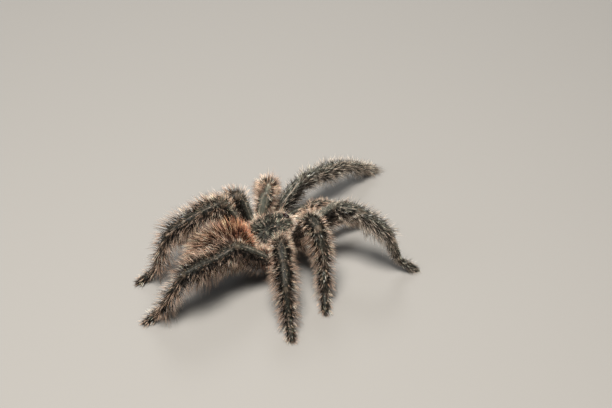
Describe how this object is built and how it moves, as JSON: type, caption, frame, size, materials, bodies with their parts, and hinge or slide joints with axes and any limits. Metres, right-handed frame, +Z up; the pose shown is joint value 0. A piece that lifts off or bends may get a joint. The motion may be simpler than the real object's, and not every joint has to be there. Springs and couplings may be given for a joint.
{
  "type": "tarantula",
  "caption": "Still life-size tarantula: hairy charcoal and tan legs, dark carapace, rust-haired abdomen, standing with a front leg stretched ahead.",
  "frame": {"origin": "centre of the animal's footprint, on the floor it stands on", "axes": "+Z up, head towards -Y, the animal's left legs towards +X"},
  "size_m": [0.097, 0.16, 0.0391],
  "materials": {
    "leg_coat": "charcoal skin under black guard hairs with tan tips",
    "carapace": "greenish black shield with short radial down",
    "abdomen_coat": "black velvet with long rust and salmon hairs",
    "jaw_coat": "dense pinkish tan hair",
    "fangs": "polished black horn",
    "eyes": "wet black",
    "underside": "matte dark brown down"
  },
  "bodies": {
    "root": {"leg_left_1_femur": "leg_coat", "leg_left_1_patella": "leg_coat", "leg_left_1_tibia": "leg_coat", "leg_left_1_metatarsus": "leg_coat", "leg_left_1_tarsus": "leg_coat", "leg_left_2_femur": "leg_coat", "leg_left_2_patella": "leg_coat", "leg_left_2_tibia": "leg_coat", "leg_left_2_metatarsus": "leg_coat", "leg_left_2_tarsus": "leg_coat", "leg_left_3_femur": "leg_coat", "leg_left_3_patella": "leg_coat", "leg_left_3_tibia": "leg_coat", "leg_left_3_metatarsus": "leg_coat", "leg_left_3_tarsus": "leg_coat", "leg_left_4_femur": "leg_coat", "leg_left_4_patella": "leg_coat", "leg_left_4_tibia": "leg_coat", "leg_left_4_metatarsus": "leg_coat", "leg_left_4_tarsus": "leg_coat", "leg_right_1_femur": "leg_coat", "leg_right_1_patella": "leg_coat", "leg_right_1_tibia": "leg_coat", "leg_right_1_metatarsus": "leg_coat", "leg_right_1_tarsus": "leg_coat", "leg_right_2_femur": "leg_coat", "leg_right_2_patella": "leg_coat", "leg_right_2_tibia": "leg_coat", "leg_right_2_metatarsus": "leg_coat", "leg_right_2_tarsus": "leg_coat", "leg_right_3_femur": "leg_coat", "leg_right_3_patella": "leg_coat", "leg_right_3_tibia": "leg_coat", "leg_right_3_metatarsus": "leg_coat", "leg_right_3_tarsus": "leg_coat", "leg_right_4_femur": "leg_coat", "leg_right_4_patella": "leg_coat", "leg_right_4_tibia": "leg_coat", "leg_right_4_metatarsus": "leg_coat", "leg_right_4_tarsus": "leg_coat", "palp_left_femur": "leg_coat", "palp_left_patella": "leg_coat", "palp_left_tibia": "leg_coat", "palp_left_tarsus": "leg_coat", "palp_right_femur": "leg_coat", "palp_right_patella": "leg_coat", "palp_right_tibia": "leg_coat", "palp_right_tarsus": "leg_coat", "carapace": "carapace", "eye_tubercle": "eyes", "chelicera_left": "jaw_coat", "chelicera_right": "jaw_coat", "fang_left": "fangs", "fang_right": "fangs", "sternum": "underside", "pedicel": "underside", "abdomen": "abdomen_coat", "spinneret_left": "leg_coat", "spinneret_right": "leg_coat"}
  },
  "joints": []
}
